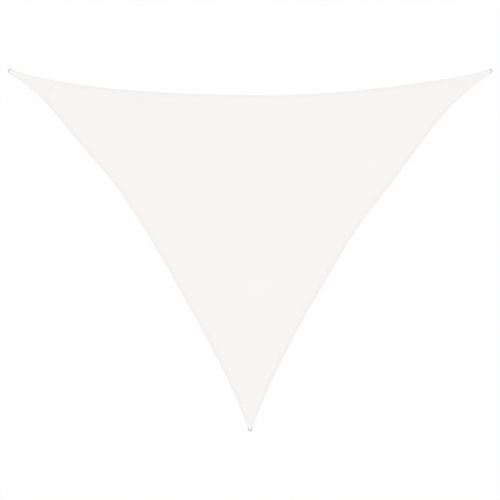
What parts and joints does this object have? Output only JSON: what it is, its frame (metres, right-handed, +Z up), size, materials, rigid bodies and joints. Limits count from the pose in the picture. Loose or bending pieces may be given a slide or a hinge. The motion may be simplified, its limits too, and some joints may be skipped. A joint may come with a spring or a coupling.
{
  "type": "shade sail",
  "caption": "Triangular shade sail of knitted cloth with hollow hemmed edges, a doubled patch and a webbing tab on each corner, and a steel D-ring to tie it out by.",
  "frame": {"origin": "on the ground under the middle of the sail's footprint, rings included", "axes": "+Z up out of the cloth, +X along the long top edge towards the right ring, +Y from the lower corner towards the top edge"},
  "size_m": [4.0328, 3.0148, 0.011],
  "materials": {
    "shade_cloth": "off-white knitted cloth, matt",
    "webbing": "off-white woven strap, matt",
    "ring_steel": "polished stainless wire"
  },
  "bodies": {
    "root": {"sail_cloth": "shade_cloth", "corner_patch_left": "shade_cloth", "corner_patch_right": "shade_cloth", "corner_patch_lower": "shade_cloth", "ring_tab_left": "webbing", "ring_tab_right": "webbing", "ring_tab_lower": "webbing", "ring_left": "ring_steel", "ring_right": "ring_steel", "ring_lower": "ring_steel"}
  },
  "joints": []
}
